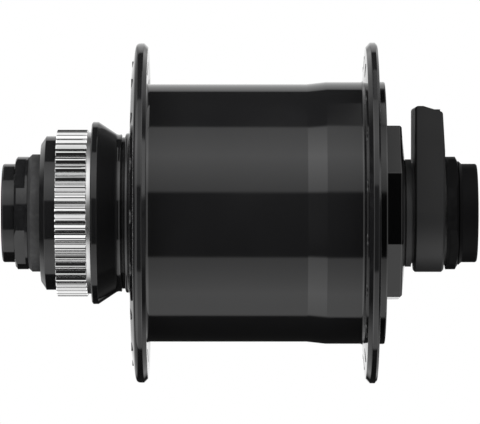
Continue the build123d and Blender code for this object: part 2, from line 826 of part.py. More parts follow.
with BuildPart() as hub_shell:
    revolve(
        outline(
            (nose_face, lockring_bore),
            (nose_face, nose_radius - nose_bevel_height),
            (nose_face + nose_bevel_length, nose_radius),
            (spline_left, nose_radius),
            (spline_left, spline_tip - tooth_bevel),
            (spline_left + tooth_bevel, spline_tip),
            (spline_right - tooth_bevel, spline_tip),
            (spline_right, spline_tip - tooth_bevel),
            (spline_right, collar_top),
            (collar_end, collar_low),
            (shoulder_face, collar_low),
            (shoulder_face, shoulder_radius - shoulder_bevel),
            (shoulder_face + shoulder_bevel, shoulder_radius),
            (shoulder_end, shoulder_radius, foot_rounding),
            (cone_end, neck_outer, cone_rounding),
            (bead_end, neck_outer - bead_drop, bead_rounding),
            (neck_groove_start, neck_outer - neck_groove_depth),
            (neck_groove_end, neck_outer - neck_groove_depth),
            (neck_groove_end + neck_groove_flank, neck_outer - bead_drop, bead_rounding),
            (left_flange_root, neck_outer + foot_height, foot_rounding),
            (left_hole_face, left_spoke_circle),
            (left_rim_start, left_flange_radius, left_rim_rounding),
            (left_rim_end, left_flange_radius),
            (left_inner_face, left_flange_radius - left_rim_bevel),
            (left_barrel_start, barrel_radius, left_fillet_radius),
            (shell_end - step_far_length, barrel_radius),
            (shell_end - step_near_length, right_barrel_radius),
            (right_flange_start, right_barrel_radius, right_fillet_radius),
            (right_inner_face, right_flange_radius - right_rim_bevel_height),
            (
                right_inner_face + right_rim_bevel_length,
                right_flange_radius,
                right_rim_rounding,
            ),
            (shell_end - right_outer_bevel, right_flange_radius),
            (shell_end, right_flange_radius - right_outer_bevel),
            (shell_end, shell_bore_radius),
            (stator_left, shell_bore_radius),
            (stator_left, shell_bore_radius - back_iron_ledge),
            (shell_floor, shell_bore_radius - back_iron_ledge),
            (shell_floor, neck_bore),
            (left_bearing_in, neck_bore),
            (left_bearing_in, left_bearing_radius),
            (left_bearing_out, left_bearing_radius),
            (left_bearing_out, circlip_groove_radius),
            (circlip_groove_out, circlip_groove_radius),
            (circlip_groove_out, left_bearing_radius),
            (lockring_floor, left_bearing_radius),
            (lockring_floor, lockring_bore),
        ),
        axis=Axis.X,
    )
    with BuildSketch(Plane.YZ.offset(spline_left - cut_overrun)):
        with PolarLocations(spline_root, spline_count):
            Polygon(
                (0, -spline_pitch * groove_root_share / 2),
                (tooth_height, -spline_pitch * groove_top_share / 2),
                (tooth_height + cut_overrun, -spline_pitch * groove_top_share / 2),
                (tooth_height + cut_overrun, spline_pitch * groove_top_share / 2),
                (tooth_height, spline_pitch * groove_top_share / 2),
                (0, spline_pitch * groove_root_share / 2),
            )
    extrude(amount=spline_length + cut_overrun, mode=Mode.SUBTRACT)
    for flange_face, thickness, circle_radius, turn in (
        (left_hole_face, left_inner_face - left_hole_face, left_spoke_circle, left_hole_turn),
        (right_inner_face, shell_end - right_inner_face, right_spoke_circle, right_hole_turn),
    ):
        through, bevels = spoke_holes(flange_face, thickness, circle_radius, turn)
        extrude(through, amount=thickness + 2 * cut_overrun, mode=Mode.SUBTRACT)
        extrude(bevels[0], amount=spoke_hole_bevel, taper=45, mode=Mode.SUBTRACT)
        extrude(bevels[1], amount=-spoke_hole_bevel, taper=45, mode=Mode.SUBTRACT)
hub_shell.part.label = "hub_shell"
export_step(hub_shell.part, "parts/hub_shell.step")

# Lid: a disc with a spigot in the shell, a seat for the right bearing and an octagonal boss
lid_disc_overhang = 0.5  # of the disc, past the barrel's surface
lid_disc_rounding = 0.4
lid_web_thickness = 2.6
lid_tube_wall = 2.6
lid_tube_reach = 0.4  # of the bearing seat's tube, past the bearing
spigot_wall = 2.6
spigot_length = 7.4
seal_ledge = 2.4
boss_wall = 3.0
boss_sides = 8
boss_turn = 3.0
boss_bevel = 0.35
o_ring_radius = 0.7
o_ring_squeeze = 0.02
o_ring_groove_clearance = 0.1
o_ring_middle_length = 2.8  # from the disc to the middle of the ring

lid_disc_radius = barrel_radius + lid_disc_overhang
boss_flat_distance = right_bearing_radius + boss_wall
spigot_radius = shell_bore_radius - seat_clearance
spigot_bore = shell_bore_radius - spigot_wall
spigot_end = lid_disc_in - spigot_length
lid_tube_end = right_bearing_in - lid_tube_reach
seal_bore = right_bearing_radius - seal_ledge
o_ring_middle = lid_disc_in - o_ring_middle_length
o_ring_path = shell_bore_radius - o_ring_radius - o_ring_squeeze
o_ring_groove_floor = o_ring_path - o_ring_radius - o_ring_squeeze
o_ring_groove_half = o_ring_radius + o_ring_groove_clearance
octagon_turn = 180 / boss_sides - boss_turn

with BuildPart() as hub_lid:
    with BuildSketch(Plane.YZ.offset(lid_disc_out)):
        RegularPolygon(
            radius=boss_flat_distance,
            side_count=boss_sides,
            major_radius=False,
            rotation=octagon_turn,
        )
    extrude(amount=boss_length)
    chamfer(hub_lid.edges().group_by(Axis.X)[-1], length=boss_bevel)
    revolve(
        outline(
            (boss_face, 0),
            (boss_face, boss_flat_distance - boss_bevel),
            (boss_face + boss_crown, seal_bore),
            (boss_face + boss_crown, 0),
        ),
        axis=Axis.X,
    )
    revolve(
        outline(
            (lid_tube_end, 0),
            (lid_tube_end, right_bearing_radius + lid_tube_wall),
            (lid_disc_out - lid_web_thickness, right_bearing_radius + lid_tube_wall),
            (lid_disc_out - lid_web_thickness, spigot_bore),
            (spigot_end, spigot_bore),
            (spigot_end, spigot_radius),
            (lid_disc_in, spigot_radius),
            (lid_disc_in, lid_disc_radius),
            (lid_disc_out, lid_disc_radius, lid_disc_rounding),
            (lid_disc_out, 0),
        ),
        axis=Axis.X,
    )
    revolve(
        outline(
            (lid_tube_end - cut_overrun, 0),
            (lid_tube_end - cut_overrun, right_bearing_radius),
            (right_bearing_out, right_bearing_radius),
            (right_bearing_out, seal_bore),
            (boss_face + boss_crown + cut_overrun, seal_bore),
            (boss_face + boss_crown + cut_overrun, 0),
        ),
        axis=Axis.X,
        mode=Mode.SUBTRACT,
    )
    revolve(
        ring_outline(
            o_ring_middle - o_ring_groove_half,
            o_ring_middle + o_ring_groove_half,
            o_ring_groove_floor,
            shell_bore_radius,
        ),
        axis=Axis.X,
        mode=Mode.SUBTRACT,
    )
hub_lid.part.label = "hub_lid"
export_step(hub_lid.part, "parts/hub_lid.step")

with BuildPart() as lid_o_ring:
    with BuildSketch(Plane.XZ):
        with Locations((o_ring_middle, o_ring_path)):
            Circle(o_ring_radius)
    revolve(axis=Axis.X)
lid_o_ring.part.label = "lid_o_ring"
export_step(lid_o_ring.part, "parts/lid_o_ring.step")

# Lip seals, one in the nose beside the circlip and one in the lid's boss
left_seal_width = 1.4
right_seal_width = 0.9
left_seal_in = circlip_groove_out - circlip_clearance
right_seal_in = right_bearing_out + circlip_clearance

with BuildPart() as left_lip_seal:
    revolve(
        ring_outline(
            left_seal_in - left_seal_width,
            left_seal_in,
            left_land_radius + running_gap,
            left_bearing_radius - seat_clearance,
        ),
        axis=Axis.X,
    )
left_lip_seal.part.label = "left_lip_seal"
export_step(left_lip_seal.part, "parts/left_lip_seal.step")

with BuildPart() as right_lip_seal:
    revolve(
        ring_outline(
            right_seal_in,
            right_seal_in + right_seal_width,
            right_land_radius + running_gap,
            seal_bore - seat_clearance,
        ),
        axis=Axis.X,
    )
right_lip_seal.part.label = "right_lip_seal"
export_step(right_lip_seal.part, "parts/right_lip_seal.step")

# Circlip that holds the left bearing, open at the bottom
circlip_bore_inset = 1.1
circlip_gap = 6.0

with BuildPart() as left_bearing_circlip:
    revolve(
        ring_outline(
            left_bearing_out - circlip_width,
            left_bearing_out,
            left_bearing_radius - circlip_bore_inset,
            circlip_groove_radius - circlip_clearance,
        ),
        axis=Axis.X,
    )
    with BuildSketch(Plane.YZ.offset(left_bearing_out - circlip_width - cut_overrun)):
        with Locations((0, -left_bearing_radius)):
            Rectangle(circlip_gap, left_bearing_radius)
    extrude(amount=circlip_width + 2 * cut_overrun, mode=Mode.SUBTRACT)
left_bearing_circlip.part.label = "left_bearing_circlip"
export_step(left_bearing_circlip.part, "parts/left_bearing_circlip.step")

# Back iron and magnets, fixed inside the barrel
magnet_end_inset = 1.5
magnet_split = 0.3

with BuildPart() as back_iron_ring:
    revolve(
        ring_outline(
            stator_left, stator_right, back_iron_inner, shell_bore_radius - seat_clearance
        ),
        axis=Axis.X,
    )
back_iron_ring.part.label = "back_iron_ring"
export_step(back_iron_ring.part, "parts/back_iron_ring.step")

with BuildPart() as magnet_segments:
    revolve(
        ring_outline(
            stator_left + magnet_end_inset,
            stator_right - magnet_end_inset,
            magnet_inner,
            back_iron_inner - seat_clearance,
        ),
        axis=Axis.X,
    )
    with BuildSketch(Plane.YZ.offset(stator_left)):
        with PolarLocations(
            (magnet_inner + back_iron_inner) / 2, pole_count, start_angle=pole_angle / 2
        ):
            Rectangle(2 * magnet_thickness, magnet_split)
    extrude(amount=stator_right - stator_left, mode=Mode.SUBTRACT)
magnet_segments.part.label = "magnet_segments"
export_step(magnet_segments.part, "parts/magnet_segments.step")

# How fast a ball cage turns for one turn of the shell round the still axle
for side, rim_radius in (("left", left_bearing_radius), ("right", right_bearing_radius)):
    height = rim_radius - axle_radius
    cage_ratio = (1 + ball_share * height / (axle_radius + height / 2)) / 2
    print(side, "cage ratio", round(cage_ratio, 6))
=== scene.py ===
import math
import bmesh
import bpy
import numpy as np
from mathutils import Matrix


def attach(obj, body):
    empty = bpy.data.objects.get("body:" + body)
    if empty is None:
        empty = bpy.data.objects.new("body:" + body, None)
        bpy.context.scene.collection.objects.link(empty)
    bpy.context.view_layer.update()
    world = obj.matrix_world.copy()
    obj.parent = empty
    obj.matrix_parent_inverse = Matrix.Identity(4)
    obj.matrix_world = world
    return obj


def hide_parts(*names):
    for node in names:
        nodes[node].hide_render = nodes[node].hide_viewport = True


# A bicycle's hub dynamo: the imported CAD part, dressed. Metres, axle on X, +Z up.
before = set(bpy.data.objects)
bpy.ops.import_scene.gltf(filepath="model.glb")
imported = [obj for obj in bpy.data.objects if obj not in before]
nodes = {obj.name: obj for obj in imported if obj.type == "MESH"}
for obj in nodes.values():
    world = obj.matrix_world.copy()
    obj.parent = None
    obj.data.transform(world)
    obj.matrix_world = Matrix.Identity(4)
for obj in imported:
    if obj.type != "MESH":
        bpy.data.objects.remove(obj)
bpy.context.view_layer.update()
scene = bpy.context.scene
mm = 0.001
print("frame loaded:", len(nodes), "nodes")


# Shared shader effects, each a group with named inputs and outputs
def newGroup(name, inputs, outputs):
    # inputs are (name, socket type, start value), outputs (name, socket type)
    tree = bpy.data.node_groups.new(name, "ShaderNodeTree")
    for label, kind, value in inputs:
        socket = tree.interface.new_socket(label, in_out="INPUT", socket_type=kind)
        socket.default_value = value
    for label, kind in outputs:
        tree.interface.new_socket(label, in_out="OUTPUT", socket_type=kind)
    return tree, tree.nodes.new("NodeGroupInput"), tree.nodes.new("NodeGroupOutput")


def addNode(tree, kind, values=None, **settings):
    # values fills the node's own input sockets by name or number
    node = tree.nodes.new(kind)
    for key, value in settings.items():
        setattr(node, key, value)
    for key, value in (values or {}).items():
        node.inputs[key].default_value = value
    return node


def mapRange(tree, source, low, high, toLow=0.0, toHigh=1.0, smooth=True):
    node = addNode(
        tree, "ShaderNodeMapRange",
        {"From Min": low, "From Max": high, "To Min": toLow, "To Max": toHigh},
        interpolation_type="SMOOTHSTEP" if smooth else "LINEAR",
    )
    tree.links.new(source, node.inputs["Value"])
    return node.outputs["Result"]


def maths(tree, operation, first, second):
    # first and second are numbers or sockets
    node = addNode(tree, "ShaderNodeMath", operation=operation)
    for socket, value in zip(node.inputs, (first, second)):
        if isinstance(value, (int, float)):
            socket.default_value = value
        else:
            tree.links.new(value, socket)
    return node.outputs[0]


def makeTurnedGrain():
    # Fine rings left by a lathe: noise over (x, r), the place along the axle and the distance
    # from it, as a height, and a slow cloud for the tone that varies over the surface.
    tree, come, go = newGroup(
        "turnedGrain",
        [("Rings per metre", "NodeSocketFloat", 4000.0),
         ("Cloud per metre", "NodeSocketFloat", 60.0)],
        [("Height", "NodeSocketFloat"), ("Cloud", "NodeSocketFloat")],
    )
    link = tree.links.new
    where = addNode(tree, "ShaderNodeTexCoord").outputs["Object"]
    split = addNode(tree, "ShaderNodeSeparateXYZ")
    link(where, split.inputs[0])
    across = addNode(tree, "ShaderNodeCombineXYZ")
    link(split.outputs["Y"], across.inputs["X"])
    link(split.outputs["Z"], across.inputs["Y"])
    reach = addNode(tree, "ShaderNodeVectorMath", operation="LENGTH")
    link(across.outputs[0], reach.inputs[0])
    perMetre = come.outputs["Rings per metre"]
    spot = addNode(tree, "ShaderNodeCombineXYZ")
    link(maths(tree, "MULTIPLY", split.outputs["X"], perMetre), spot.inputs["X"])
    link(maths(tree, "MULTIPLY", reach.outputs["Value"], perMetre), spot.inputs["Y"])
    ringValues = {"Scale": 1.0, "Detail": 2.0, "Roughness": 0.6}
    rings = addNode(tree, "ShaderNodeTexNoise", ringValues, noise_dimensions="2D")
    link(spot.outputs[0], rings.inputs["Vector"])
    cloud = addNode(tree, "ShaderNodeTexNoise", {"Detail": 3.0, "Roughness": 0.55})
    link(where, cloud.inputs["Vector"])
    link(come.outputs["Cloud per metre"], cloud.inputs["Scale"])
    link(rings.outputs["Fac"], go.inputs["Height"])
    link(cloud.outputs["Fac"], go.inputs["Cloud"])
    return tree


def makeEdgeWear():
    # Bright rubbed edges: the convex part of pointiness, broken up by a fine noise.
    tree, come, go = newGroup(
        "edgeWear",
        [("Amount", "NodeSocketFloat", 0.3), ("Breaks per metre", "NodeSocketFloat", 900.0)],
        [("Mask", "NodeSocketFloat")],
    )
    sharpRange = (0.53, 0.62)  # pointiness, which is 0.5 on a flat
    breakRange = (0.35, 0.7)
    link = tree.links.new
    shape = addNode(tree, "ShaderNodeNewGeometry")
    edge = mapRange(tree, shape.outputs["Pointiness"], *sharpRange)
    noise = addNode(tree, "ShaderNodeTexNoise", {"Detail": 3.0, "Roughness": 0.6})
    link(addNode(tree, "ShaderNodeTexCoord").outputs["Object"], noise.inputs["Vector"])
    link(come.outputs["Breaks per metre"], noise.inputs["Scale"])
    broken = mapRange(tree, noise.outputs["Fac"], *breakRange)
    mask = maths(tree, "MULTIPLY", edge, broken)
    link(maths(tree, "MULTIPLY", mask, come.outputs["Amount"]), go.inputs["Mask"])
    return tree


def makeFineGrain():
    # The grain of a moulded or blasted surface: two sizes of noise, as a height and a tone.
    tree, come, go = newGroup(
        "fineGrain",
        [("Grain per metre", "NodeSocketFloat", 5000.0),
         ("Patches per metre", "NodeSocketFloat", 120.0)],
        [("Height", "NodeSocketFloat"), ("Tone", "NodeSocketFloat")],
    )
    grainShare = 0.4  # of the tone; the rest is the patches'
    link = tree.links.new
    where = addNode(tree, "ShaderNodeTexCoord").outputs["Object"]
    grain = addNode(tree, "ShaderNodeTexNoise", {"Detail": 4.0, "Roughness": 0.6})
    patches = addNode(tree, "ShaderNodeTexNoise", {"Detail": 2.0, "Roughness": 0.5})
    for noise, scale in ((grain, "Grain per metre"), (patches, "Patches per metre")):
        link(where, noise.inputs["Vector"])
        link(come.outputs[scale], noise.inputs["Scale"])
    fine = maths(tree, "MULTIPLY", grain.outputs["Fac"], grainShare)
    broad = maths(tree, "MULTIPLY", patches.outputs["Fac"], 1 - grainShare)
    link(grain.outputs["Fac"], go.inputs["Height"])
    link(maths(tree, "ADD", fine, broad), go.inputs["Tone"])
    return tree


turnedGrain = makeTurnedGrain()
edgeWear = makeEdgeWear()
fineGrain = makeFineGrain()
print("shader groups ready")


def startMaterial(name, metallic=0.0, ior=1.5, coat=0.0, coatRoughness=0.05):
    material = bpy.data.materials.new(name)
    material.use_nodes = True
    tree = material.node_tree
    shader = tree.nodes["Principled BSDF"]
    shader.inputs["Metallic"].default_value = metallic
    shader.inputs["IOR"].default_value = ior
    shader.inputs["Coat Weight"].default_value = coat
    shader.inputs["Coat Roughness"].default_value = coatRoughness
    return material, tree, shader


def placeGroup(tree, group, values=None):
    node = addNode(tree, "ShaderNodeGroup", node_tree=group)
    for key, value in (values or {}).items():
        node.inputs[key].default_value = value
    return node


def mixColours(tree, factor, first, second):
    # first and second are colours or sockets; the result is a colour socket
    node = addNode(tree, "ShaderNodeMix", data_type="RGBA")
    tree.links.new(factor, node.inputs["Factor"])
    for socket, value in ((node.inputs[6], first), (node.inputs[7], second)):
        if isinstance(value, tuple):
            socket.default_value = (*value, 1.0)
        else:
            tree.links.new(value, socket)
    return node.outputs[2]


def addBump(tree, shader, height, distance):
    bump = addNode(tree, "ShaderNodeBump", {"Distance": distance, "Strength": 1.0})
    tree.links.new(height, bump.inputs["Height"])
    tree.links.new(bump.outputs["Normal"], shader.inputs["Normal"])


# Turned metals, anodised, blackened or bare. rough is the roughness from the cloud's dark
# parts to its light ones, bump the depth of the rings in metres.
turnedMetals = {
    "black_anodised": dict(
        dark=(0.008, 0.008, 0.0085), light=(0.013, 0.013, 0.0135), worn=(0.16, 0.16, 0.17),
        wear=0.04, rough=(0.06, 0.09), metallic=0.0, ior=1.52, bump=0.8e-7),
    "black_anodised_shell": dict(
        dark=(0.008, 0.008, 0.0085), light=(0.013, 0.013, 0.0135), worn=(0.16, 0.16, 0.17),
        wear=0.04, rough=(0.05, 0.08), metallic=0.0, ior=1.52, bump=0.8e-7),
    "lid_black": dict(
        dark=(0.0008, 0.0008, 0.0009), light=(0.0015, 0.0015, 0.0016), worn=(0.16, 0.16, 0.17),
        wear=0.06, rough=(0.1, 0.13), metallic=0.0, ior=1.52, bump=1.0e-7),
    "matt_black_anodised": dict(
        dark=(0.002, 0.002, 0.0022), light=(0.004, 0.004, 0.0042), worn=(0.12, 0.12, 0.12),
        wear=0.02, rough=(0.48, 0.56), metallic=0.0, ior=1.13, bump=4.0e-7),
    "black_steel": dict(
        dark=(0.003, 0.003, 0.003), light=(0.006, 0.006, 0.006), worn=(0.2, 0.2, 0.2),
        wear=0.1, rough=(0.4, 0.5), metallic=0.0, ior=1.5, bump=8.0e-7),
    "satin_black_alloy": dict(
        dark=(0.022, 0.022, 0.0225), light=(0.032, 0.032, 0.033), worn=(0.2, 0.2, 0.2),
        wear=0.2, rough=(0.52, 0.6), metallic=0.0, ior=1.4, bump=1.2e-6),
    "bare_splines": dict(
        dark=(0.7, 0.7, 0.7), light=(0.82, 0.82, 0.82), worn=(0.9, 0.9, 0.9),
        wear=0.15, rough=(0.05, 0.08), metallic=1.0, ior=1.5, bump=0.2e-7),
    "bare_collar": dict(
        dark=(0.62, 0.62, 0.62), light=(0.72, 0.72, 0.72), worn=(0.9, 0.9, 0.9),
        wear=0.1, rough=(0.26, 0.32), metallic=1.0, ior=1.5, bump=1.0e-7),
    "axle_alloy": dict(
        dark=(0.4, 0.4, 0.41), light=(0.5, 0.5, 0.51), worn=(0.7, 0.7, 0.7),
        wear=0.3, rough=(0.24, 0.34), metallic=1.0, ior=1.5, bump=8.0e-7),
    "plain_steel": dict(
        dark=(0.36, 0.36, 0.37), light=(0.48, 0.48, 0.49), worn=(0.66, 0.66, 0.66),
        wear=0.3, rough=(0.25, 0.36), metallic=1.0, ior=1.5, bump=8.0e-7),
    "bearing_steel": dict(
        dark=(0.5, 0.5, 0.5), light=(0.58, 0.58, 0.58), worn=(0.7, 0.7, 0.7),
        wear=0.2, rough=(0.1, 0.16), metallic=1.0, ior=1.5, bump=2.0e-7),
    "shield_steel": dict(
        dark=(0.42, 0.42, 0.42), light=(0.52, 0.52, 0.52), worn=(0.66, 0.66, 0.66),
        wear=0.2, rough=(0.2, 0.3), metallic=1.0, ior=1.5, bump=5.0e-7),
    "soft_iron": dict(
        dark=(0.2, 0.2, 0.205), light=(0.3, 0.3, 0.3), worn=(0.5, 0.5, 0.5),
        wear=0.4, rough=(0.38, 0.52), metallic=1.0, ior=1.5, bump=1.5e-6),
}
cloudRange = (0.3, 0.7)  # where nearly all of the cloud lies


def makeTurnedMetal(name, look):
    material, tree, shader = startMaterial(name, look["metallic"], look["ior"])
    grain = placeGroup(tree, turnedGrain)
    wear = placeGroup(tree, edgeWear, {"Amount": look["wear"]})
    colour = mixColours(tree, grain.outputs["Cloud"], look["dark"], look["light"])
    colour = mixColours(tree, wear.outputs["Mask"], colour, look["worn"])
    rough = mapRange(tree, grain.outputs["Cloud"], *cloudRange, *look["rough"])
    tree.links.new(colour, shader.inputs["Base Color"])
    tree.links.new(rough, shader.inputs["Roughness"])
    addBump(tree, shader, grain.outputs["Height"], look["bump"])
    return material


# Moulded plastics, rubber and the fine-grained metals
grainyLooks = {
    "satin_black_plastic": dict(
        dark=(0.018, 0.018, 0.0185), light=(0.026, 0.026, 0.0265),
        rough=(0.55, 0.64), metallic=0.0, bump=3e-6),
    "connector_plastic": dict(
        dark=(0.006, 0.006, 0.0063), light=(0.01, 0.01, 0.0103),
        rough=(0.46, 0.54), metallic=0.0, bump=3e-6),
    "cage_plastic": dict(
        dark=(0.16, 0.12, 0.07), light=(0.24, 0.18, 0.1),
        rough=(0.4, 0.5), metallic=0.0, bump=3e-6),
    "bobbin_plastic": dict(
        dark=(0.55, 0.53, 0.48), light=(0.66, 0.64, 0.58),
        rough=(0.4, 0.5), metallic=0.0, bump=4e-6),
    "seal_rubber": dict(
        dark=(0.012, 0.012, 0.012), light=(0.022, 0.022, 0.022),
        rough=(0.55, 0.7), metallic=0.0, bump=5e-6),
    "contact_metal": dict(
        dark=(0.72, 0.66, 0.5), light=(0.84, 0.78, 0.62),
        rough=(0.16, 0.26), metallic=1.0, bump=1e-6),
    "lead_copper": dict(
        dark=(0.62, 0.27, 0.14), light=(0.76, 0.36, 0.2),
        rough=(0.2, 0.3), metallic=1.0, bump=1e-6),
    "ball_steel": dict(
        dark=(0.56, 0.56, 0.56), light=(0.62, 0.62, 0.62),
        rough=(0.05, 0.09), metallic=1.0, bump=1e-7),
    "magnet": dict(
        dark=(0.3, 0.3, 0.31), light=(0.4, 0.4, 0.41),
        rough=(0.3, 0.42), metallic=1.0, bump=3e-6),
}
toneRange = (0.35, 0.65)  # where nearly all of the tone lies


def makeGrainy(name, look):
    material, tree, shader = startMaterial(name, look["metallic"], ior=1.45)
    grain = placeGroup(tree, fineGrain)
    colour = mixColours(tree, grain.outputs["Tone"], look["dark"], look["light"])
    rough = mapRange(tree, grain.outputs["Tone"], *toneRange, *look["rough"])
    tree.links.new(colour, shader.inputs["Base Color"])
    tree.links.new(rough, shader.inputs["Roughness"])
    addBump(tree, shader, grain.outputs["Height"], look["bump"])
    return material


# The winding: turns of enamelled wire side by side, a wave along the axle. A turn takes
# 2 pi / (20 waveScale) metres. The wave drives the bump and also the colour: painted shade
# in the grooves between turns, a painted highlight on their crests.
windingLook = dict(
    # dark is the painted shade in the grooves between turns, light the painted highlight on their
    # crests
    dark=(0.33, 0.1, 0.035), light=(0.72, 0.3, 0.12), waveScale=130.0, distortion=0.2,
    toneRange=(0.3, 0.7), rough=(0.22, 0.34), metallic=0.6, coat=0.5, bump=6e-5,
)


def makeWinding(name, look):
    material, tree, shader = startMaterial(name, look["metallic"], coat=look["coat"])
    where = addNode(tree, "ShaderNodeTexCoord").outputs["Object"]
    waveValues = {"Scale": look["waveScale"], "Distortion": look["distortion"]}
    wave = addNode(tree, "ShaderNodeTexWave", waveValues, wave_type="BANDS", bands_direction="X")
    tree.links.new(where, wave.inputs["Vector"])
    grain = placeGroup(tree, fineGrain)
    # painted shade and highlight: the wave that raises each turn's crest also lightens it, and
    # darkens the grooves between turns
    colour = mixColours(tree, wave.outputs["Fac"], look["dark"], look["light"])
    rough = mapRange(tree, grain.outputs["Tone"], *look["toneRange"], *look["rough"])
    tree.links.new(colour, shader.inputs["Base Color"])
    tree.links.new(rough, shader.inputs["Roughness"])
    addBump(tree, shader, wave.outputs["Fac"], look["bump"])
    return material


finishes = {name: makeTurnedMetal(name + "_look", look) for name, look in turnedMetals.items()}
finishes.update({name: makeGrainy(name + "_look", look) for name, look in grainyLooks.items()})
finishes["winding_copper"] = makeWinding("winding_copper_look", windingLook)
ownLooks = {"hub_lid": "lid_black"}  # nodes whose finish differs from their slot's
for name, node in nodes.items():
    for slot in node.material_slots:
        slot.material = finishes[ownLooks.get(name, slot.material.name.split(".")[0])]
print("finishes on:", len(finishes))


# New surfaces, in millimetres until they become a mesh, each where its CAD node is
def roundedLine(corners, arcSteps=4, closed=False):
    # A line with soft corners, each (along, height, radius). With u and v the ways to its
    # neighbours, a corner C becomes C + cut ((1-s)^2 u + s^2 v), s from 0 to 1, where cut is
    # radius / tan(half its angle) or less where room is short. One more point each side, a
    # little beyond the cut, keeps the flats flat.
    tiny, mostOfRoom, beyond, nearest = 1e-9, 0.92, 1.08, 1e-5
    corners = np.array([(*corner, 0.0)[:3] for corner in corners])
    points, radius = corners[:, :2], corners[:, 2]
    before, after = np.roll(points, 1, 0) - points, np.roll(points, -1, 0) - points
    roomBefore, roomAfter = np.linalg.norm(before, axis=1), np.linalg.norm(after, axis=1)
    before, after = before / roomBefore[:, None], after / roomAfter[:, None]
    cosine = np.clip((before * after).sum(1), -1.0, 1.0)
    cut = radius * np.sqrt((1 + cosine) / np.maximum(1 - cosine, tiny))
    if not closed:
        cut[[0, -1]] = 0.0
    cutBefore, cutAfter = cut + np.roll(cut, 1), cut + np.roll(cut, -1)
    spare = np.minimum(roomBefore / (cutBefore + tiny), roomAfter / (cutAfter + tiny))
    cut = cut * np.minimum(1.0, mostOfRoom * spare)
    share = np.linspace(0, 1, arcSteps + 1)
    back = np.concatenate(([beyond], (1 - share) ** 2, [0.0]))[None, :, None]
    forth = np.concatenate(([0.0], share ** 2, [beyond]))[None, :, None]
    line = points[:, None] + cut[:, None, None] * (back * before[:, None] + forth * after[:, None])
    line = line.reshape(-1, 2)
    apart = np.linalg.norm(line - np.roll(line, 1, 0), axis=1) > nearest
    apart[0] = True
    return line[apart]


def turnedRings(line, angles, shift=0.0):
    # Each point (x, r) of the line carried round the axle: (x, r cos a, r sin a). angles and
    # shift are in degrees, shift one for all points or one for each.
    a = np.radians(angles[None, :] + np.broadcast_to(shift, len(line))[:, None])
    x, r = line[:, :1], line[:, 1:]
    return np.stack((x + 0 * a, r * np.cos(a), r * np.sin(a)), -1)


def ringFaces(rings, closed=False):
    # Quads from each ring to the next; a ring closes on itself, and closed joins last to first
    rows, columns = rings.shape[:2]
    i = np.arange(rows if closed else rows - 1)[:, None] * columns
    j = np.arange(columns)[None, :]
    nextI, nextJ = (i + columns) % (rows * columns), (j + 1) % columns
    return np.stack((i + j, i + nextJ, nextI + nextJ, nextI + j), -1).reshape(-1, 4)


def makePiece(name, patches, look, body, node, slot, sharp=35.0):
    # patches are (rings, closed); their shared borders are welded and the faces turned
    # outwards. Edges sharper than the angle sharp, in degrees, stay hard.
    weld = 8e-7  # metres, less than between any two points that stay apart
    starts = np.cumsum([0] + [rings[..., 0].size for rings, closed in patches])
    points = np.concatenate([rings.reshape(-1, 3) for rings, closed in patches]) * mm
    faces = [ringFaces(rings, closed) + start for (rings, closed), start in zip(patches, starts)]
    mesh = bpy.data.meshes.new(name)
    mesh.from_pydata(points.tolist(), [], np.concatenate(faces).tolist())
    solid = bmesh.new()
    solid.from_mesh(mesh)
    bmesh.ops.remove_doubles(solid, verts=solid.verts, dist=weld)
    bmesh.ops.recalc_face_normals(solid, faces=solid.faces)
    openEdges = sum(len(edge.link_faces) != 2 for edge in solid.edges)
    solid.to_mesh(mesh)
    solid.free()
    mesh.shade_smooth()
    mesh.set_sharp_from_angle(angle=math.radians(sharp))
    mesh.materials.append(finishes[look])
    piece = bpy.data.objects.new(name, mesh)
    scene.collection.objects.link(piece)
    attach(piece, body)
    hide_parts(node)
    print("  ", name, len(mesh.polygons), "faces, open edges:", openEdges)


